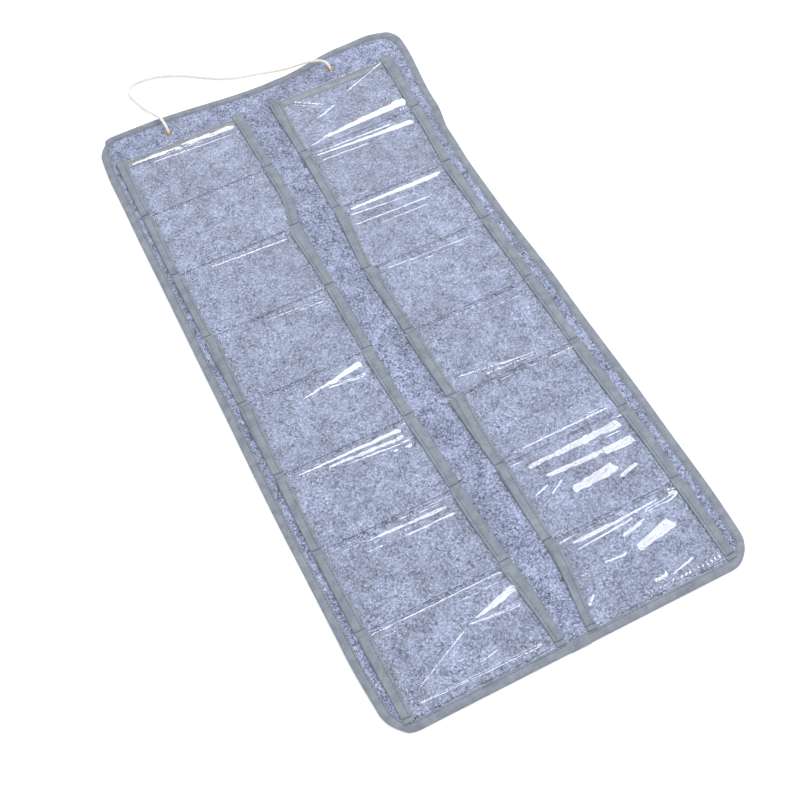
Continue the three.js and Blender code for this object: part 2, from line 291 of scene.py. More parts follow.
roughen(tree, shader, raised, 0.6, 0.0006)
print("material", felt_finish.name)

# %% [markdown]
# ## Tape and its thread
# The binding and the side strips are one narrow grey-green tape of pressed, woven fibre. Its colour hardly
# varies, so its look comes from fine ribs and faint patches. The sewing thread is the same grey, darker.
# %% Tape and thread materials
TAPE_PALE = colour(138, 144, 154)
TAPE_DEEP = colour(108, 115, 126)
THREAD_GREY = colour(52, 58, 66)


def tape_like(name, pale, deep, rib_height):
    """A ribbed textile finish between two tones."""
    material, tree, shader = start_material(name, Roughness=0.78, Specular_IOR_Level=0.35,
                                            Sheen_Weight=0.15, Sheen_Roughness=0.5)
    tone = place_group(tree, patches, Size=70.0, Contrast=2.4).outputs["Mask"]
    grain = place_group(tree, patches, Size=900.0, Contrast=2.5).outputs["Mask"]
    shade = mixed(tree, tone, pale, deep)
    worn = mixed(tree, math_node(tree, "MULTIPLY", grain, 0.35), shade, deep)
    tree.links.new(worn, shader.inputs["Base Color"])
    weave = place_group(tree, ribs, Ribs_a_metre=850.0, Across=1.0).outputs["Height"]
    roughen(tree, shader, math_node(tree, "MULTIPLY_ADD", grain, 0.5, weave), 0.5, rib_height)
    return material


tape_finish = tape_like("tape", TAPE_PALE, TAPE_DEEP, 0.00015)
thread_finish = tape_like("thread", THREAD_GREY, THREAD_GREY, 0.0001)
print("materials", tape_finish.name, thread_finish.name)

# %% [markdown]
# ## Clear film
# The pocket fronts are soft clear plastic film. Principled glass with full transmission bends and mirrors
# light as film does. It would also throw a dark shadow on the felt, since a path tracer can't find a
# lamp through glass. Real film lets the light through, so a Transparent shader takes over for shadow
# rays, and for the rays that carry light from one felt surface to another or to the sky.
# %% Film material
FILM_TINT = (0.995, 0.997, 1.0, 1.0)
film_finish, tree, shader = start_material(
    "film", Base_Color=FILM_TINT, Roughness=0.04, IOR=1.47, Transmission_Weight=1.0, Metallic=0.0)
where = add_node(tree, "ShaderNodeTexCoord").outputs["Object"]
scuffs = add_node(tree, "ShaderNodeTexNoise", Vector=where, Scale=260.0, Detail=2.0, Roughness=0.6)
roughen(tree, shader, scuffs.outputs["Fac"], 0.12, 0.0003)
clear = add_node(tree, "ShaderNodeBsdfTransparent", Color=(0.99, 0.995, 1.0, 1.0))
rays = add_node(tree, "ShaderNodeLightPath")
choice = tree.nodes.new("ShaderNodeMixShader")
lit_through = math_node(tree, "MAXIMUM", rays.outputs["Is Shadow Ray"], rays.outputs["Is Diffuse Ray"])
tree.links.new(lit_through, choice.inputs[0])
tree.links.new(shader.outputs[0], choice.inputs[1])
tree.links.new(clear.outputs[0], choice.inputs[2])
tree.links.new(choice.outputs[0], tree.nodes["Material Output"].inputs["Surface"])
print("material", film_finish.name)

# %% [markdown]
# ## Cotton cord and brass
# The cord is unbleached cotton, whose twist is in its mesh, so its finish only needs soft patches and a
# fibre grain. The eyelets are pressed brass that has gone brown in its hollows.
# %% Cord and eyelet materials
COTTON_PALE = colour(234, 227, 222)
COTTON_DEEP = colour(206, 196, 189)
BRASS_BRIGHT = colour(214, 170, 98)
BRASS_BROWN = colour(118, 84, 44)
cotton_finish, tree, shader = start_material("cotton", Roughness=0.85, Sheen_Weight=0.3)
tone = place_group(tree, patches, Size=300.0, Contrast=2.0).outputs["Mask"]
grain = place_group(tree, patches, Size=1800.0, Contrast=3.0).outputs["Mask"]
tree.links.new(mixed(tree, tone, COTTON_PALE, COTTON_DEEP), shader.inputs["Base Color"])
roughen(tree, shader, grain, 0.4, 0.0002)
brass_finish, tree, shader = start_material("brass", Metallic=1.0)
tone = place_group(tree, patches, Size=420.0, Contrast=3.0).outputs["Mask"]
grain = place_group(tree, patches, Size=2600.0, Contrast=2.0).outputs["Mask"]
tree.links.new(mixed(tree, tone, BRASS_BRIGHT, BRASS_BROWN), shader.inputs["Base Color"])
tree.links.new(math_node(tree, "MULTIPLY_ADD", tone, 0.3, 0.25), shader.inputs["Roughness"])
roughen(tree, shader, grain, 0.3, 0.0001)
print("materials", cotton_finish.name, brass_finish.name)

# %% [markdown]
# ## The floor
# A plain pale floor that the organizer lies on. It is staged, which keeps it out of the object.
# %% Floor
FLOOR_HALF = 6.0
FLOOR_BELOW = 0.2 * MM
FLOOR_PALE = (0.97, 0.97, 0.97, 1)
FLOOR_DEEP = (0.95, 0.95, 0.95, 1)
floor_finish, tree, shader = start_material("floor", Roughness=0.9)
tone = place_group(tree, patches, Size=3.0, Contrast=0.6).outputs["Mask"]
tree.links.new(mixed(tree, tone, FLOOR_PALE, FLOOR_DEEP), shader.inputs["Base Color"])
floor_mesh = bpy.data.meshes.new("floor")
floor_mesh.from_pydata([(x * FLOOR_HALF, y * FLOOR_HALF, -FLOOR_BELOW)
                        for x, y in ((-1, -1), (1, -1), (1, 1), (-1, 1))], [], [(0, 1, 2, 3)])
floor_mesh.materials.append(floor_finish)
floor = bpy.data.objects.new("floor", floor_mesh)
bpy.context.scene.collection.objects.link(floor)
floor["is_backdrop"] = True
print("floor", 2 * FLOOR_HALF, "m wide")

# %% [markdown]
# ## Mesh helpers
# Every piece here is a sheet or a swept shape, so its mesh is a grid of points with quads between them.
# These helpers turn grids into faces and points into an object.
# %% Mesh helpers


def grid_quads(rows, columns, start=0, wrap_rows=False, wrap_columns=False):
    """Quads over a grid of points that were listed row by row."""
    quads = []
    for row in range(rows if wrap_rows else rows - 1):
        below = start + row * columns
        above = start + (row + 1) % rows * columns
        for column in range(columns if wrap_columns else columns - 1):
            after = (column + 1) % columns
            quads.append((below + column, below + after, above + after, above + column))
    return quads


def swept_faces(rings, count):
    """The faces of a closed section of count points, swept through rings, with a face over each end."""
    faces = grid_quads(rings, count, wrap_columns=True)
    faces.append(tuple(range(count))[::-1])
    faces.append(tuple(range((rings - 1) * count, rings * count)))
    return faces


def make_piece(name, points, faces, finish):
    """A smooth-shaded mesh object in the scene, with one material."""
    mesh = bpy.data.meshes.new(name)
    mesh.from_pydata([tuple(p) for p in points], [], faces)
    mesh.materials.append(finish)
    mesh.shade_smooth()
    mesh.update()
    piece = bpy.data.objects.new(name, mesh)
    bpy.context.scene.collection.objects.link(piece)
    return piece


def hold(piece, body, slot, *nodes):
    """Rides a piece on its body and lets it stand for its CAD nodes. The slot is not used."""
    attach(piece, body)
    if nodes:
        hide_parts(*nodes)
    return piece


def soft_step(t):
    """0 below 0, 1 above 1, and a smooth S between."""
    t = np.clip(t, 0.0, 1.0)
    return t * t * (3 - 2 * t)


def unevenness(x, y, wave, seed):
    """Smooth seeded noise of about -1 to 1, from a dozen waves of nearly the given length."""
    draw = np.random.default_rng(seed)
    total = np.zeros(np.shape(x))
    for _ in range(12):
        angle = draw.uniform(0, 2 * math.pi)
        turns = 2 * math.pi / (wave * draw.uniform(0.7, 1.5))
        phase = draw.uniform(0, 2 * math.pi)
        total = total + np.sin(turns * (x * math.cos(angle) + y * math.sin(angle)) + phase)
    return total / 5.0


print("mesh helpers ready")

# %% [markdown]
# ## The hanging cord
# A slack cotton cord runs out of the left eyelet, over the panel's top edge, round a loose loop on the
# floor and back to the right eyelet. It could be a curve with a bevel, but a twisted cord has three plies
# that show at its edge, so it is a tube mesh whose section is pinched in three places and turns as it goes.
# The route is the same one that the CAD tube follows: its ends are told from their own eyelets.
# %% Cord route
eyelet_boxes = {side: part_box(f"eyelet_{side}") for side in COLUMNS}
eyelet_middle = {side: (low + high) / 2 for side, (low, high) in eyelet_boxes.items()}
EYELET_X = eyelet_middle["right"].x
EYELET_Y = eyelet_middle["right"].y
EYELET_LIP = eyelet_boxes["right"][0].z
CORD_RADIUS = 2.6 * MM
CORD_START = [
    (0, 0, 7.5), (0, 0, 10.2), (0, 0.5, 13.4), (0, 2.3, 17), (-0.1, 5.8, 20.1), (-0.2, 10.8, 21.7),
    (-0.3, 17, 21.4),
]
CORD_MIDDLE = [
    (-163.4, 25, 19.3), (-163.8, 35.5, 15.6), (-166.5, 47.5, 11.8), (-171, 60.5, 8.8), (-176.5, 76, 5.2),
    (-182, 93, 3.2), (-187, 111, 2.9), (-191.5, 129, 2.9), (-190.5, 144, 2.9), (-181, 153, 2.9),
    (-162, 156, 2.9), (-138, 153.5, 2.9), (-113, 145, 2.9), (-85, 130, 2.9), (-55, 108, 2.9),
    (-25, 87.5, 3), (0, 74, 3.9), (26, 64.5, 5.9), (50, 56, 7.7), (77, 46.5, 9.4), (100, 41.5, 10.8),
    (118, 39, 12), (131, 35.5, 13.6), (143, 29.5, 16), (151, 22, 18.8),
]
CORD_END = [
    (-5.9, 14, 21.3), (-2.9, 7, 20.6), (-1, 2.6, 17.4), (-0.2, 0.5, 13.6), (0, 0, 10.2), (0, 0, 7.5),
]
route = [(x * MM - EYELET_X, y * MM + EYELET_Y, z * MM) for x, y, z in CORD_START]
route += [(x * MM, y * MM + EYELET_Y, z * MM) for x, y, z in CORD_MIDDLE]
route += [(x * MM + EYELET_X, y * MM + EYELET_Y, z * MM) for x, y, z in CORD_END]


def curve_through(points, spacing):
    """Evenly spaced points on a smooth curve through the given ones (Catmull-Rom)."""
    knots = np.array(points)
    padded = np.vstack([2 * knots[0] - knots[1], knots, 2 * knots[-1] - knots[-2]])
    dense = []
    for i in range(1, len(padded) - 2):
        before, here, there, after = padded[i - 1:i + 3]
        for t in np.linspace(0, 1, 24, endpoint=False):
            dense.append(0.5 * (2 * here + (there - before) * t
                                + (2 * before - 5 * here + 4 * there - after) * t ** 2
                                + (3 * here - before - 3 * there + after) * t ** 3))
    dense = np.vstack([dense, knots[-1]])
    run = np.concatenate([[0], np.cumsum(np.linalg.norm(np.diff(dense, axis=0), axis=1))])
    count = max(2, round(run[-1] / spacing) + 1)
    even = np.linspace(0, run[-1], count)
    return np.stack([np.interp(even, run, dense[:, k]) for k in range(3)], axis=1), run[-1]


cord_path, cord_length = curve_through(route, 1.2 * MM)
print("cord length", round(cord_length, 4), "m, points", len(cord_path))

# %% Cord and knots
PLY_PINCH = 0.16
PLY_TURN = 15 * MM


def twisted_tube(name, path, radius, sides, closed=False):
    """A tube along a path, pinched into three plies that turn round it."""
    count = len(path)
    ahead = np.roll(path, -1, axis=0) - np.roll(path, 1, axis=0)
    if not closed:
        ahead[0] = path[1] - path[0]
        ahead[-1] = path[-1] - path[-2]
    ahead /= np.linalg.norm(ahead, axis=1)[:, None]
    side = np.cross(ahead[0], (0.31, 0.94, 0.12))
    run = 0.0
    points = []
    for i in range(count):
        side = side - ahead[i] * (side @ ahead[i])
        side /= np.linalg.norm(side)
        other = np.cross(ahead[i], side)
        run += np.linalg.norm(path[i] - path[i - 1]) if i else 0.0
        turned = 2 * math.pi * run / PLY_TURN
        for k in range(sides):
            angle = 2 * math.pi * k / sides
            reach = radius * (1 - PLY_PINCH * (1 - abs(math.cos(1.5 * (angle - turned)))))
            points.append(path[i] + reach * (math.cos(angle) * side + math.sin(angle) * other))
    if closed:
        faces = grid_quads(count, sides, wrap_rows=True, wrap_columns=True)
    else:
        faces = swept_faces(count, sides)
    return make_piece(name, points, faces, cotton_finish)


cord = twisted_tube("cord", cord_path, CORD_RADIUS, 18)
hold(cord, "organizer_back", "cord_cotton", "hanging_cord")
KNOT_PLY = 1.9 * MM
for side in COLUMNS:
    low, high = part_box(f"cord_knot_{side}")
    middle = (low + high) / 2
    wide = ((high.x - low.x) / 2 - KNOT_PLY) / 3
    tall = (high.z - low.z) / 2 - KNOT_PLY
    turn = np.linspace(0, 2 * math.pi, 110, endpoint=False)
    ring = (2 + np.cos(3 * turn)) * wide
    loop = np.stack([middle.x + ring * np.cos(2 * turn), middle.y + ring * np.sin(2 * turn),
                     middle.z + tall * np.sin(3 * turn)], axis=1)
    tied = twisted_tube(f"knot_{side}", loop, KNOT_PLY, 12, closed=True)
    hold(tied, "organizer_back", "cord_cotton", f"cord_knot_{side}")

# %% [markdown]
# ## Eyelets
# A pressed eyelet is one thin ring of brass, rolled over in front and behind. A lathe shape fits it: one
# rounded section, turned round the hole's axis.
# %% Eyelets
EYELET_SECTION = [
    (3.50, 0.35), (3.75, 0.08), (4.7, 0.0), (5.8, 0.12), (6.15, 0.4), (5.8, 0.62), (4.6, 0.6), (4.15, 0.85),
    (4.1, 2.4), (4.15, 3.95), (4.6, 4.2), (5.8, 4.15), (6.2, 4.36), (6.0, 4.62), (5.1, 4.8), (4.1, 4.74),
    (3.6, 4.5), (3.5, 4.1), (3.5, 2.2),
]
EYELET_TURNS = 44
for side in COLUMNS:
    middle = eyelet_middle[side]
    points = []
    for i in range(EYELET_TURNS):
        angle = 2 * math.pi * i / EYELET_TURNS
        for reach, level in EYELET_SECTION:
            points.append((middle.x + reach * MM * math.cos(angle),
                           middle.y + reach * MM * math.sin(angle), EYELET_LIP + level * MM))
    faces = grid_quads(EYELET_TURNS, len(EYELET_SECTION), wrap_rows=True, wrap_columns=True)
    ring = make_piece(f"eyelet_ring_{side}", points, faces, brass_finish)
    hold(ring, "organizer_back", "eyelet_metal", f"eyelet_{side}")

# %% [markdown]
# ## How the organizer lies
# Sewn felt never lies as true as its drawing: the long edges wander, the top edge dips between the two
# eyelets, and the felt is lifted over the knots. Bending every piece by hand would make gaps, so all of
# them are drawn flat, in the frame's own measures, and then carried by one function that says how the
# whole panel lies. SWAY gives, for each of eight lines that run along the panel, how far it wanders at
# places up its length. The lines are named by where they start across the panel, all in millimetres.
# %% How it lies
edge_low, edge_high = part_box("edge_binding")
HALF_WIDTH = edge_high.x
HALF_LENGTH = edge_high.y
BINDING_WIDTH = 15 * MM
CORNER_RADIUS = 48 * MM
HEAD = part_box("top_tape_left")[1].y
LEFT_EDGE_SWAY = [(-625, 6), (-480, -1), (-220, -3), (0, -1), (300, 1), (500, 3), (625, 10)]
RIGHT_EDGE_SWAY = [(-625, -1), (-500, 2), (-342, 0), (-75, -5), (133, -12), (240, -13), (326, -10),
                   (400, 1), (571, 17)]
SWAY = {
    -300: LEFT_EDGE_SWAY,
    -285: LEFT_EDGE_SWAY,
    -268: [(-625, 0), (-300, -5), (0, -3), (300, -6), (625, -3)],
    -36: [(-625, 17), (-330, -2), (-50, -12), (90, -10), (235, -13), (340, 3), (560, 1)],
    36: [(-625, -8), (-480, 7), (-333, 5), (-23, -6), (116, -11), (255, -1), (398, 0), (625, 0)],
    268: [(-625, 2), (-470, 0), (-176, -8), (110, -13), (241, -14), (392, -4), (545, 3)],
    285: RIGHT_EDGE_SWAY,
    300: RIGHT_EDGE_SWAY,
}
TOP_DIP = [(-300, -10), (-200, -10), (30, -28), (70, -27), (200, -9), (300, -5)]
DOME_ACROSS = 52 * MM
DOME_UP = 44 * MM
DOME_DOWN = 32 * MM
DOME_CROWN = 9 * MM
DOME_RISE = EYELET_LIP + 0.9 * MM
SWELL_HEIGHT = 1.1 * MM
SWELL_LENGTH = 0.42


def eased(places, points):
    """A smooth line through (place, value) points in millimetres, level at each of them."""
    at = np.array([p for p, _ in points]) * MM
    values = np.array([v for _, v in points]) * MM
    places = np.clip(places, at[0], at[-1])
    i = np.clip(np.searchsorted(at, places, side="right") - 1, 0, len(at) - 2)
    return values[i] + (values[i + 1] - values[i]) * soft_step((places - at[i]) / (at[i + 1] - at[i]))


def dome(x, y):
    """How far the knots lift the felt, as a share from 0 to 1."""
    share = np.zeros(np.shape(x))
    for middle in eyelet_middle.values():
        dx = x - middle.x
        dy = y - middle.y
        distance = np.maximum(np.hypot(dx, dy), 1e-9)
        reach = np.hypot(dx / DOME_ACROSS, dy / np.where(dy > 0, DOME_UP, DOME_DOWN))
        crown = reach * DOME_CROWN / distance
        share = np.maximum(share, 1 - soft_step((reach - crown) / (1 - crown)))
    return share


def lie(points):
    """Carries points drawn on the flat panel to where the panel lies."""
    points = np.array(points, float).reshape(-1, 3)
    x, y, z = points.T
    lines = sorted(SWAY)
    sways = np.array([eased(y, SWAY[line]) for line in lines])
    i = np.clip(np.searchsorted(np.array(lines) * MM, x, side="right") - 1, 0, len(lines) - 2)
    t = np.clip((x - np.array(lines)[i] * MM) / ((np.array(lines)[i + 1] - np.array(lines)[i]) * MM), 0, 1)
    everyone = np.arange(len(x))
    sway = sways[i, everyone] + (sways[i + 1, everyone] - sways[i, everyone]) * t
    lifted = dome(x, y)
    free = 1 - lifted
    rest = HEAD + 5 * MM
    dip = eased(x, TOP_DIP) * soft_step((y - rest) / (HALF_LENGTH - BINDING_WIDTH - rest))
    swell = SWELL_HEIGHT * (1 + 0.5 * unevenness(x, y, SWELL_LENGTH, 5)).clip(0, 2)
    return np.stack([x + sway * free, y + dip * free, z + swell * free + DOME_RISE * lifted], axis=1)


print("panel", round(2 * HALF_WIDTH, 3), "by", round(2 * HALF_LENGTH, 3))

# %% [markdown]
# ## The felt
# One sheet 3 mm thick with round corners, squeezed thinner where the binding grips it, with a hole for
# each eyelet. A grid is squeezed in row by row to follow the round corners, then given a top and a
# bottom. A little unevenness keeps the surface from looking machined.
# %% Felt sheet
FELT_THICKNESS = 3 * MM
FELT_GRIPPED = 2.7 * MM
FELT_EDGE = 0.9 * MM
GRIP_REACH = 13 * MM
LUMP_HEIGHT = 0.16 * MM
LUMP_LENGTH = 13 * MM
GRID_STEP = 5 * MM
HOLE_HALF = 4.2 * MM


def inside_distance(x, y):
    """How far a point lies inside the panel's rounded outline."""
    over_x = np.abs(x) - (HALF_WIDTH - CORNER_RADIUS)
    over_y = np.abs(y) - (HALF_LENGTH - CORNER_RADIUS)
    outside = np.hypot(np.maximum(over_x, 0), np.maximum(over_y, 0))
    return CORNER_RADIUS - outside - np.minimum(np.maximum(over_x, over_y), 0)


def lines_between(low, high, step, holes):
    """Evenly spaced grid lines, with a pair of lines at the sides of each hole in place of the nearest."""
    even = np.linspace(low, high, round((high - low) / step) + 1)
    for middle in holes:
        even = even[np.abs(even - middle) > HOLE_HALF + step / 3]
    pairs = [middle + sign * HOLE_HALF for middle in holes for sign in (-1, 1)]
    return np.array(sorted([*even, *pairs]))


felt_half_x = HALF_WIDTH - FELT_EDGE
felt_half_y = HALF_LENGTH - FELT_EDGE
felt_radius = CORNER_RADIUS - FELT_EDGE
straight = felt_half_y - felt_radius
turns = np.radians(np.arange(6, 91, 6))
corner_rows = straight + felt_radius * np.sin(turns)
across = lines_between(-felt_half_x, felt_half_x, GRID_STEP, [-EYELET_X, EYELET_X])
down = lines_between(-straight, straight, GRID_STEP, [EYELET_Y])
down = np.array([*(-corner_rows[::-1]), *down, *corner_rows])
overrun = np.maximum(np.abs(down) - straight, 0)
row_half = felt_half_x - felt_radius + np.sqrt(np.maximum(felt_radius ** 2 - overrun ** 2, 0))
flat_x = across[None, :] * (row_half / felt_half_x)[:, None]
flat_y = np.repeat(down[:, None], len(across), axis=1)
free = soft_step((inside_distance(flat_x, flat_y) - GRIP_REACH) / (4 * MM))
lumps = LUMP_HEIGHT * unevenness(flat_x, flat_y, LUMP_LENGTH, 3) * free
top = FELT_GRIPPED + (FELT_THICKNESS - FELT_GRIPPED) * free + lumps
bottom = FELT_EDGE * (1 - free)
rows, columns = flat_x.shape
layer = rows * columns
sheet_points = [np.stack([flat_x.ravel(), flat_y.ravel(), level.ravel()], axis=1) for level in (bottom, top)]
hole_row = int(np.argmin(np.abs(down - (EYELET_Y - HOLE_HALF))))
hole_columns = [int(np.argmin(np.abs(across - (x - HOLE_HALF)))) for x in (-EYELET_X, EYELET_X)]
holes = {(hole_row, column) for column in hole_columns}
faces = []
for row in range(rows - 1):
    for column in range(columns - 1):
        a = row * columns + column
        quad = (a, a + 1, a + 1 + columns, a + columns)
        if (row, column) in holes:
            ring = [*quad, quad[0]]
            faces += [(p, layer + p, layer + q, q) for p, q in zip(ring, ring[1:])]
        else:
            faces.append(quad[::-1])
            faces.append(tuple(layer + p for p in quad))
rim = [*range(columns), *(r * columns + columns - 1 for r in range(1, rows)),
       *range(layer - 2, layer - columns - 1, -1), *(r * columns for r in range(rows - 2, -1, -1))]
faces += [(p, q, layer + q, layer + p) for p, q in zip(rim, rim[1:])]
felt = make_piece("felt_sheet", lie(np.vstack(sheet_points)), faces, felt_finish)
hold(felt, "organizer_back", "felt", "back_panel")
print("felt", rows, "by", columns, "points a side")

# %% [markdown]
# ## Thread
# Stitching shows as a row of short bars of thread that dip into the cloth at each needle hole. Each bar is
# a small pointed capsule, made between two holes on the flat drawing and carried along with the rest.
# %% Stitches
STITCH = 6.5 * MM
THREAD_HALF = 0.28 * MM


def stitch_bars(holes):
    """Points and faces of thread bars between each hole and the next."""
    points = []
    faces = []
    for here, there in zip(holes, holes[1:]):
        step = there - here
        up = np.array((0.0, 0.0, 1.0))
        side = np.cross(step, up)
        side /= np.linalg.norm(side)
        start = len(points)
        points.append(here + 0.08 * step - up * THREAD_HALF)
        for share in (0.2, 0.5, 0.8):
            middle = here + share * step + up * THREAD_HALF * (0.6 if share == 0.5 else 0.2)
            for k in range(6):
                angle = math.pi * k / 3
                points.append(middle + THREAD_HALF * (math.cos(angle) * side + math.sin(angle) * up))
        points.append(there - 0.08 * step - up * THREAD_HALF)
        faces += grid_quads(3, 6, start + 1, wrap_columns=True)
        faces += [(start, start + 1 + (k + 1) % 6, start + 1 + k) for k in range(6)]
        faces += [(start + 19, start + 13 + k, start + 13 + (k + 1) % 6) for k in range(6)]
    return points, faces


def stitched(name, runs, body):
    """One piece of thread for several runs of needle holes, each drawn flat."""
    points = []
    faces = []
    for run in runs:
        bars, quads = stitch_bars(lie(run))
        faces += [tuple(len(points) + p for p in quad) for quad in quads]
        points += bars
    return hold(make_piece(name, points, faces, thread_finish), body, "tape")


print("stitch", round(STITCH / MM, 1), "mm")

# %% [markdown]
# ## The edge binding
# The felt's edge is bound with one tape folded over it and sewn through. It starts and ends at a lap joint
# in the bottom edge, where the last stretch lies over the first. The tape's section is swept once round
# the outline: a sewn groove near its inner edge, ripples where the thread pulls it in, deeper puckers
# where it has to turn the round corners, and a step up at the lap.
# %% Binding tape
LAP_START = -26 * MM
LAP_LENGTH = 48 * MM
LAP_RISE = 1.3 * MM
LAP_STEP = 4 * MM
BINDING_SEAM = 11.9 * MM
BINDING_SEAM_LEVEL = 3.45 * MM
SWEEP_STEP = 2.5 * MM
BINDING_SECTION = [
    (15.0, 3.15), (14.4, 3.5), (12.6, 3.62), (11.9, 3.3), (11.2, 3.62), (7.5, 3.75), (3.5, 3.7), (1.3, 3.5),
    (0.3, 2.9), (0.0, 1.8), (0.3, 0.7), (1.3, 0.1), (7.5, 0.0), (14.4, 0.1), (15.0, 0.45), (14.4, 0.7),
    (1.6, 0.7), (0.7, 1.8), (1.6, 2.95), (14.4, 3.05),
]


def outline(step):
    """Places round the panel's edge from the lap joint and back past it, and the way inwards at each."""
    x = HALF_WIDTH - CORNER_RADIUS
    y = HALF_LENGTH - CORNER_RADIUS
    corners = [((x, -y), -90), ((x, y), 0), ((-x, y), 90), ((-x, -y), 180)]
    places = [np.array((LAP_START, -HALF_LENGTH))]
    inwards = [np.array((0.0, 1.0))]

    def straight_to(end):
        start = places[-1]
        count = max(1, round(np.linalg.norm(end - start) / step))
        for i in range(1, count + 1):
            places.append(start + (end - start) * i / count)
            inwards.append(inwards[-1])

    for middle, angle in corners:
        out = np.array((math.cos(math.radians(angle)), math.sin(math.radians(angle))))
        straight_to(np.array(middle) + CORNER_RADIUS * out)
        for turn in range(3, 91, 3):
            bearing = math.radians(angle + turn)
            out = np.array((math.cos(bearing), math.sin(bearing)))
            places.append(np.array(middle) + CORNER_RADIUS * out)
            inwards.append(-out)
    straight_to(np.array((LAP_START + LAP_LENGTH, -HALF_LENGTH)))
    return np.array(places), np.array(inwards)


edge_places, edge_inwards = outline(SWEEP_STEP)
run = np.concatenate([[0], np.cumsum(np.linalg.norm(np.diff(edge_places, axis=0), axis=1))])
turning = np.minimum(np.abs(edge_inwards).min(axis=1) * 3, 1)
ripple = 0.16 * MM * unevenness(run, run * 0, 0.010, 11)
pucker = 0.34 * MM * turning * np.sin(run / MM * 0.95)
wander = 0.35 * MM * unevenness(run, run * 0, 0.035, 12)
lap = soft_step((run - (run[-1] - LAP_LENGTH - LAP_STEP)) / LAP_STEP) * LAP_RISE
points = []
for place, inward, height, shift, extra in zip(edge_places, edge_inwards, ripple + pucker, wander, lap):
    for depth, level in BINDING_SECTION:
        face = 1 if level > 1.8 else -1
        upper = 0.5 + 0.5 * face
        deep = depth * MM + shift * (depth > 10) - extra * 0.6 * (depth < 2)
        swell = height * face * math.sin(math.pi * min(depth / 15, 1)) * upper
        rise = level * MM + swell + extra * upper
        points.append((*(place + inward * deep), max(rise, 0.0)))
faces = swept_faces(len(edge_places), len(BINDING_SECTION))
binding = make_piece("binding_tape", lie(points), faces, tape_finish)
hold(binding, "organizer_back", "tape", "edge_binding")
needle = np.arange(6 * MM, run[-1] - 2 * MM, STITCH)
seam_line = edge_places + BINDING_SEAM * edge_inwards
seam_x = np.interp(needle, run, seam_line[:, 0])
seam_y = np.interp(needle, run, seam_line[:, 1])
sewn = [np.stack([seam_x, seam_y, np.full(len(needle), BINDING_SEAM_LEVEL)], axis=1)]
stitched("binding_thread", sewn, "organizer_back")
print("binding", len(edge_places), "sections, run", round(run[-1], 3), "m")

# %% [markdown]
# ## Ribbons
# The head tapes, the leaves that are sewn down and the leaves on the film are all cut from one narrow
# tape. A ribbon here is a closed strip: a rounded section, carried along its length on the flat drawing,
# with faint ripples so that it doesn't look like a plate.
# %% Ribbons


def ribbon(name, across_at, along, level_at, section, seed):
    """A strip whose section is placed by across_at(u, v), at a height of level_at(v) plus its own."""
    points = []
    for v in along:
        for u, level in section:
            flutter = 0.12 * MM * float(unevenness(np.array(v), np.array(u * MM), 0.012, seed))
            points.append((*across_at(u * MM, v), level_at(v) + level * MM + flutter))
    return make_piece(name, lie(points), swept_faces(len(along), len(section)), tape_finish)


# %% [markdown]
# ## Head tapes
# Above each column a tape is sewn to the felt behind the first pocket's mouth. Its section has a groove
# near the upper edge, where the row of stitches pulls it in.
# %% Head tapes
HEAD_SEAM = 3.6 * MM
for label in COLUMNS:
    low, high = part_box(f"top_tape_{label}")
    wide = (high.y - low.y) / MM
    section = [(0, 0.1), (0.5, 0), (wide - 0.5, 0), (wide, 0.1), (wide, 0.5), (wide - 0.6, 0.62),
               (wide - 3, 0.62), (wide - 3.6, 0.4), (wide - 4.2, 0.62), (4, 0.62), (0.6, 0.6), (0, 0.5)]
    along = np.arange(low.x, high.x + 1 * MM, 4 * MM).clip(low.x, high.x)
    head_tape = ribbon(f"head_tape_{label}", lambda u, v: (v, low.y + u), along, lambda v: low.z, section, 21)
    hold(head_tape, "organizer_back", "tape", f"top_tape_{label}")
    needle = np.arange(low.x + 3 * MM, high.x, STITCH)
    places = [(x, high.y - HEAD_SEAM, low.z + 0.55 * MM) for x in needle]
    stitched(f"head_thread_{label}", [np.array(places)], "organizer_back")
print("head tapes done")

# %% [markdown]
# ## Side strips
# Each side of a pocket is one tape, pleated like a bellows: an under leaf sewn to the felt, a wall folded
# twice, and a front leaf sewn over the film's edge. The front leaf rides with the pocket. The under leaf
# stays on the felt. The wall is first laid out unfolded and then folded into its pleats.
# Between one pocket's mouth and the next pocket's seam the strip stays sewn to the felt as a short tab,
# parted from the front leaf by a narrow slit, and below the last pocket a foot takes it to the binding.
# SLIDE gives, in millimetres, how far the strips that were laid down askew lean over at the mouth.
# %% Side strips
LEAF_WIDTH = 17.0
SEAM_IN_LEAF = 12.4
UNDER_WIDTH = 9.0
TAB = 8 * MM
SLIT = 1.3 * MM
MOUTH_SLACK = 0.28  # lying down, a mouth settles to this share of the height that the frame leaves for it
PLEAT_DEPTH = 7 * MM
UNFOLDED_WALL = 50 * MM
WALL_THICKNESS = 0.4 * MM
LEAF_LIFT = 0.9 * MM
TAB_LIFT = 0.75 * MM
LEAF_SEAM_LEVEL = 1.45 * MM
FRONT_LEAF = [
    (0.0, 0.25), (0.5, 0.02), (4, 0), (SEAM_IN_LEAF, 0), (LEAF_WIDTH - 0.5, 0.0), (LEAF_WIDTH, 0.15),
    (LEAF_WIDTH, 0.5), (LEAF_WIDTH - 0.7, 0.66), (SEAM_IN_LEAF + 0.7, 0.7), (SEAM_IN_LEAF, 0.4),
    (SEAM_IN_LEAF - 0.7, 0.72), (8, 0.85), (3, 0.8), (0.8, 0.62), (0.1, 0.45),
]
UNDER_LEAF = [(0, 0.1), (0.5, 0), (UNDER_WIDTH - 0.5, 0), (UNDER_WIDTH, 0.15), (UNDER_WIDTH, 0.45),
              (UNDER_WIDTH - 0.6, 0.58), (4, 0.6), (0.6, 0.58), (0, 0.45)]
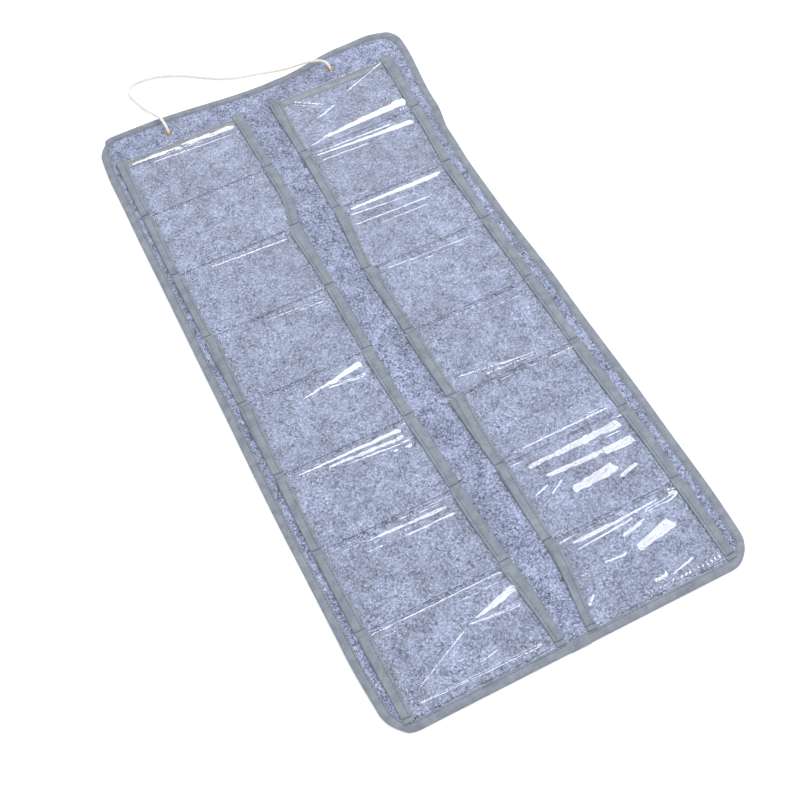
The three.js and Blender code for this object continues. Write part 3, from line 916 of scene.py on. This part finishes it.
SLIDE = {("right", 1, "inner"): 5, ("right", 4, "inner"): 4, ("right", 5, "inner"): 4,
         ("right", 6, "inner"): 8, ("right", 3, "outer"): 4, ("left", 4, "outer"): 5,
         ("left", 5, "outer"): 5, ("left", 8, "inner"): 4, ("left", 3, "inner"): 4}
for label in COLUMNS:
    for row in ROWS:
        film_low, film_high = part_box(f"pocket_film_{label}_{row}")
        middle_x = (film_low.x + film_high.x) / 2
        seam_y = film_low.y
        deep = film_high.y - film_low.y
        rise = MOUTH_SLACK * (film_high.z - film_low.z)
        body = f"pocket_{label}_{row}"
        for hand in ("inner", "outer"):
            node = f"side_strip_{label}_{row}_{hand}"
            low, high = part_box(node)
            towards = 1 if (low.x + high.x) / 2 < middle_x else -1
            fold_x = low.x if towards > 0 else high.x
            slide = SLIDE.get((label, row, hand), 1.5) * MM
            seed = 100 + row * 4 + (label == "left") * 2 + (hand == "inner")
            front_level = low.z + LEAF_LIFT
            along = np.linspace(0, deep, 40)

            def on_leaf(u, v, fold_x=fold_x, towards=towards, slide=slide, seam_y=seam_y, deep=deep):
                return fold_x + towards * (u + slide * (v / deep) ** 2), seam_y + v

            def leaf_level(v, front_level=front_level, rise=rise, deep=deep):
                return front_level + rise * v / deep

            front = ribbon(f"strip_front_{label}_{row}_{hand}", on_leaf, along, leaf_level, FRONT_LEAF, seed)
            hold(front, body, "tape", node)

            def on_felt(u, v, fold_x=fold_x, towards=towards, seam_y=seam_y):
                return fold_x + towards * u, seam_y + v

            under = ribbon(f"strip_under_{label}_{row}_{hand}", on_felt, np.linspace(0, deep - 1 * MM, 30),
                           lambda v, z=low.z: z, UNDER_LEAF, seed + 1)
            hold(under, "organizer_back", "tape")
            reach = TAB if row == 1 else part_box(f"pocket_film_{label}_{row - 1}")[0].y - film_high.y - SLIT

            def on_gap(u, v, fold_x=fold_x, towards=towards, slide=slide, seam_y=seam_y,
                       deep=deep, reach=reach):
                left_over = 1 - (v - deep) / reach
                return fold_x + towards * (u + slide * left_over), seam_y + v

            def gap_level(v, z=low.z, deep=deep, reach=reach):
                return z + TAB_LIFT * max(0, v - deep) / reach

            tab = ribbon(f"strip_tab_{label}_{row}_{hand}", on_gap, deep + np.linspace(-1 * MM, reach, 8),
                         gap_level, FRONT_LEAF, seed + 2)
            hold(tab, "organizer_back", "tape")
            if row == len(ROWS):
                to_binding = seam_y + HALF_LENGTH - BINDING_WIDTH
                foot = ribbon(f"strip_foot_{label}_{hand}", on_felt, np.linspace(-to_binding, -SLIT, 5),
                              lambda v, z=low.z: z + TAB_LIFT, FRONT_LEAF, seed + 3)
                hold(foot, "organizer_back", "tape")

            shares = np.linspace(0, 1, 21)
            pleat = np.interp(shares, [0, 0.25, 0.5, 0.75, 1], [0, 1, 0, 1, 0])
            laid_out = [(fold_x, seam_y + v, share * UNFOLDED_WALL) for v in along for share in shares]
            wall = make_piece(f"strip_wall_{label}_{row}_{hand}", laid_out,
                              grid_quads(len(along), len(shares)), tape_finish)
            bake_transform(wall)
            folded = []
            for v in along:
                open_share = v / deep
                bottom = low.z + 0.35 * MM
                top = leaf_level(v) + 0.3 * MM
                for share, fold in zip(shares, pleat):
                    bulge = (slide * 0.8 + 0.6 * MM) * open_share * math.exp(-((share - 0.5) / 0.16) ** 2)
                    inward = fold * PLEAT_DEPTH * min(1, open_share * 3) + slide * open_share ** 2 * share
                    x = fold_x + towards * (0.3 * MM + inward - bulge)
                    folded.append((x, seam_y + v, bottom + (top - bottom) * share))
            wall.data.vertices.foreach_set("co", lie(folded).ravel())
            wall.data.update()
            skin = wall.modifiers.new("cloth thickness", "SOLIDIFY")
            skin.thickness = WALL_THICKNESS
            skin.offset = 0
            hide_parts(node)
        runs = []
        for hand in ("inner", "outer"):
            low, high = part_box(f"side_strip_{label}_{row}_{hand}")
            towards = 1 if (low.x + high.x) / 2 < middle_x else -1
            fold_x = low.x if towards > 0 else high.x
            slide = SLIDE.get((label, row, hand), 1.5) * MM
            needle = np.arange(2 * MM, deep - 1 * MM, STITCH)
            leaning = fold_x + towards * (SEAM_IN_LEAF * MM + slide * (needle / deep) ** 2)
            level = low.z + LEAF_SEAM_LEVEL + rise * needle / deep
            runs.append(np.stack([leaning, seam_y + needle, level], axis=1))
        stitched(f"strip_thread_{label}_{row}", runs, body)

# %% [markdown]
# ## Pocket films
# Each pocket front is one sheet of clear film, sewn to the felt along its bottom and into the side strips,
# and open at the top. Packed flat and shaken out, it keeps its folds: a pressed crease below each mouth,
# a slack wave above the seam, and fans of small folds that run out of the corners. A fold is drawn as a
# long low roof between two points, and a film's height is the sum of its roofs. A flat-faced roof is used
# because clear film shows as bright patches where a whole face mirrors a lamp, and its slope decides which.
# FOLDS lists, for each pocket, u1, v1, u2, v2 and the half width at each end, in millimetres, and then the
# slope of the faces: u runs across from the middle of the pocket, and v up from its bottom seam.
# CRUMPLED lists the patches that are also slack and uneven: u from and to, v from and to and the height,
# in millimetres, and the length of the waves, in metres.
# %% Folds in the film
FOLDS = {
    ("right", 1): [(-78, 8, 112, 9, 6, 19, 0.165), (-101, 2, -57, 9, 2, 3, 0.41),
                   (-83, 117, -29, 80, 1.8, 1.6, 0.3), (-88, 112, -30, 74, 1.4, 1.4, 0.3),
                   (13, 91, 112, 129, 1.5, 2.5, 0.3), (-58, 57, -13, 74, 2, 2, 0.3)],
    ("right", 2): [(-107, 121, 102, 104, 3, 12, 0.2), (-96, 106, 4, 101, 2.5, 3, 0.37),
                   (-108, 128, 60, 122, 2, 3, 0.34), (-109, 5, 88, 4, 2, 2, 0.34)],
    ("right", 3): [(-109, 113, 88, 98, 3, 3, 0.37), (-108, 90, 57, 84, 2, 3, 0.34),
                   (-80, 74, 45, 71, 2, 2, 0.34), (-105, 123, 100, 114, 5, 18, 0.235)],
    ("right", 4): [(-108, 124, 92, 117, 2, 2, 0.34), (-108, 115, 92, 108, 2, 2, 0.3)],
    ("right", 5): [(-108, 124, 99, 112, 2, 2, 0.38), (-108, 17, 60, 4, 8, 4, 0.29),
                   (-98, 24, -13, 12, 3, 3, 0.37)],
    ("right", 6): [(-108, 112, 100, 116, 2, 2, 0.34), (-98, 8, 100, 10, 3, 4, 0.34)],
    ("right", 7): [(-93, 121, 100, 128, 7, 15, 0.25), (-92, 108, 100, 105, 2.5, 3, 0.27),
                   (-74, 96, 101, 93, 6, 15, 0.24), (-44, 59, 49, 68, 13, 17, 0.23),
                   (-95, 71, -65, 81, 3, 4, 0.25), (-71, 62, -41, 78, 3, 4, 0.25),
                   (38, 42, 77, 51, 6, 7, 0.21)],
    ("right", 8): [(-95, 124, 108, 127, 5, 12, 0.18), (-96, 110, 101, 121, 2.5, 3.5, 0.21),
                   (-15, 100, 49, 111, 6, 9, 0.165), (-6, 75, 69, 95, 13, 19, 0.145),
                   (-58, 76, -18, 72, 4, 4, 0.17), (-3, 18, 20, 17, 5, 5, 0.11),
                   (22, 12, 66, 23, 3, 4, 0.11), (-20, 5, 57, 4, 2, 3, 0.14),
                   (-98, 72, -85, 72, 4, 3, 0.17), (-105, 26, -90, 40, 4, 3, 0.13)],
    ("left", 1): [(-105, 119, 105, 108, 4, 12, 0.15), (-68, 106, 101, 96, 2, 2.5, 0.34),
                  (-105, 119, 105, 102, 2, 2.5, 0.3)],
    ("left", 2): [(-43, 92, 90, 87, 1.2, 1.2, 0.2), (-108, 124, 100, 112, 1.2, 1.4, 0.22)],
    ("left", 3): [(-60, 126, 99, 118, 2.5, 3, 0.37), (29, 122, 40, 104, 2.5, 2.5, 0.34)],
    ("left", 4): [(-59, 124, 100, 113, 2, 2.5, 0.38), (-105, 128, 90, 120, 2, 2, 0.34)],
    ("left", 5): [(-34, 100, 102, 108, 2, 20, 0.3), (2, 105, 92, 99, 2, 4, 0.4),
                  (-108, 130, -35, 100, 2.5, 1.5, 0.38), (20, 92, 70, 92, 1.5, 2, 0.34)],
    ("left", 6): [(-105, 124, 103, 116, 3, 13, 0.34), (-40, 108, 103, 96, 3, 9, 0.34)],
    ("left", 7): [(-103, 127, 101, 120, 4, 8, 0.32), (-65, 113, 105, 104, 3, 6, 0.32),
                  (-60, 108, 60, 102, 3, 3, 0.31)],
    ("left", 8): [(-103, 121, 110, 119, 1.6, 1.6, 0.42), (15, 80, 108, 110, 2, 15, 0.21),
                  (21, 81, 99, 75, 2, 4, 0.42), (-86, 29, 15, 79, 1.6, 2, 0.38),
                  (-98, 12, 95, 9, 2.5, 4, 0.42), (40, 30, -10, 22, 1.5, 1.5, 0.4)],
}
CRUMPLED = {
    ("left", 1): (-75, 108, 112, 134, 0.5, 0.026),
    ("left", 7): (-60, 90, 100, 130, 0.3, 0.024),
    ("right", 7): (-100, 60, 55, 100, 0.22, 0.024),
}
FOLD_WANDER = 22.0
FADE_AT_ENDS = 0.1


def fold_height(u, v, fold):
    """The height of one roof-shaped ridge over a grid of places, in millimetres."""
    u1, v1, u2, v2, half1, half2, steep = fold
    du = u2 - u1
    dv = v2 - v1
    length = math.hypot(du, dv)
    t = ((u - u1) * du + (v - v1) * dv) / length ** 2
    off = ((v - v1) * du - (u - u1) * dv) / length
    half = half1 + (half2 - half1) * np.clip(t, 0, 1)
    half = half * (1 + 0.12 * unevenness(t * length, off * 0, FOLD_WANDER, int(abs(u1) + v2)))
    ends = soft_step(t / FADE_AT_ENDS) * soft_step((1 - t) / FADE_AT_ENDS)
    roof = np.clip(1.17 - np.sqrt((off / half) ** 2 + 0.03), 0, None)
    return steep * half * ends * roof ** 2 / (roof + 0.12)


print("folds", sum(len(folds) for folds in FOLDS.values()))

# %% [markdown]
# ## Making the films
# Each film is a grid that is laid out flat and only then lifted into its folds. Its hem, the first few
# millimetres below the seam, stays flat on the felt.
# Near its sewn edges the film is held down, so all of its slack fades out there.
# %% Pocket films
FILM_THICKNESS = 0.3 * MM
HEM = 5 * MM
SAG = 0.35
COLUMNS_OF_POINTS = 120
ROWS_OF_POINTS = 92
ROWS_IN_HEM = 5
HELD_DOWN = 7 * MM
LIP_REACH = 2.2 * MM
LIP_FROM = 20 * MM
film_pieces = {}
for label in COLUMNS:
    for row in ROWS:
        node = f"pocket_film_{label}_{row}"
        low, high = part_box(node)
        middle_x = (low.x + high.x) / 2
        half = (high.x - low.x) / 2
        deep = high.y - low.y
        rise = MOUTH_SLACK * (high.z - low.z)
        across = np.linspace(-half, half, COLUMNS_OF_POINTS)
        along = np.concatenate([np.linspace(-HEM, 0, ROWS_IN_HEM)[:-1], np.linspace(0, deep, ROWS_OF_POINTS)])
        u, v = np.meshgrid(across, along)
        share = np.clip(v / deep, 0, 1)
        middle = 1 - (u / half) ** 4
        height = rise * share * (1 - SAG * middle) / MM
        loose = soft_step(v / HELD_DOWN) * soft_step((half - np.abs(u)) / HELD_DOWN)
        ridges = np.zeros(u.shape)
        for fold in FOLDS[label, row]:
            ridges = ridges + fold_height(u / MM, v / MM, fold)
        free = soft_step(v / LIP_FROM)
        lip = 0.9 * np.exp(-((v - deep) / LIP_REACH) ** 2) * (1 + 0.4 * unevenness(u, u * 0, 0.03, row))
        seed = 40 + row + 10 * (label == "left")
        slack = 0.28 * unevenness(u * 0.45, v, 0.035, seed) * free
        if (label, row) in CRUMPLED:
            u1, u2, v1, v2, tall, patch = CRUMPLED[label, row]
            inside = soft_step((u / MM - u1) / 12) * soft_step((u2 - u / MM) / 12)
            inside = inside * soft_step((v / MM - v1) / 8) * soft_step((v2 - v / MM) / 4)
            slack = slack + tall * inside * unevenness(u, v * 0.6, patch, 60 + row)
        puckers = 0.22 * np.exp(-(v / (5 * MM)) ** 2) * np.sin(u / MM * 0.9 + row) * soft_step(v / (2 * MM))
        level = low.z + (height + (ridges + slack) * loose + lip * free + puckers) * MM
        level = np.maximum(level, low.z)
        points = np.stack([(middle_x + u).ravel(), (low.y + v).ravel(), level.ravel()], axis=1)
        laid_out = np.stack([u.ravel(), (low.y + v).ravel(), 0 * v.ravel()], axis=1)
        film = make_piece(f"film_{label}_{row}", laid_out, grid_quads(*u.shape), film_finish)
        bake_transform(film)
        film.data.vertices.foreach_set("co", lie(points).ravel())
        film.data.update()
        skin = film.modifiers.new("film thickness", "SOLIDIFY")
        skin.thickness = FILM_THICKNESS
        skin.offset = 0
        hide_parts(node)
        film_pieces[label, row] = film
print("films", len(film_pieces))

# %% [markdown]
# ## Sizes
# The finished model's box is printed.
# %% Write the sizes
low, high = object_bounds()
print("visual box", [round(v, 4) for v in high - low])
